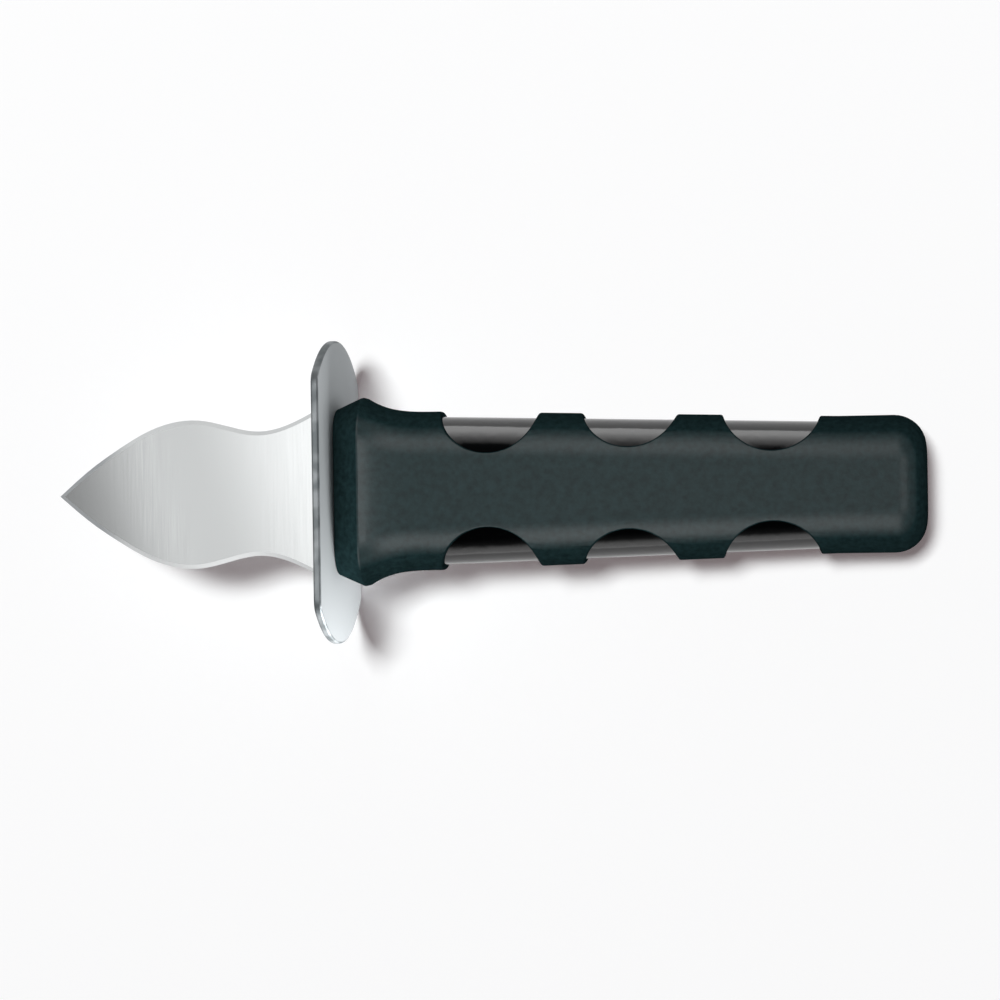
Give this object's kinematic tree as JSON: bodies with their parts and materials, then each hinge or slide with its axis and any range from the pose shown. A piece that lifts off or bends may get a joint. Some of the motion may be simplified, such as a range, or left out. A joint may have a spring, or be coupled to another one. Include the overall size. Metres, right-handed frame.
{
  "type": "oyster knife",
  "caption": "Short spear-shaped shucking blade behind a flat hand guard, on a hard-cored soft grip with finger windows.",
  "frame": {"origin": "middle of the knife's box: on the knife's axis, midway between the tip and the butt", "axes": "+X along the knife from the tip to the butt, +Y across the blade's flat, +Z square to the blade's flat"},
  "size_m": [0.165, 0.0576, 0.0392],
  "materials": {
    "blade_steel": "fine-ground stainless steel",
    "guard_steel": "satin stainless steel with a rolled rim",
    "core_plastic": "polished moulded polypropylene",
    "grip_rubber": "fine-grained matte thermoplastic rubber"
  },
  "bodies": {
    "root": {"blade": "blade_steel", "guard_plate": "guard_steel", "handle_core": "core_plastic", "grip_sleeve": "grip_rubber"}
  },
  "joints": []
}
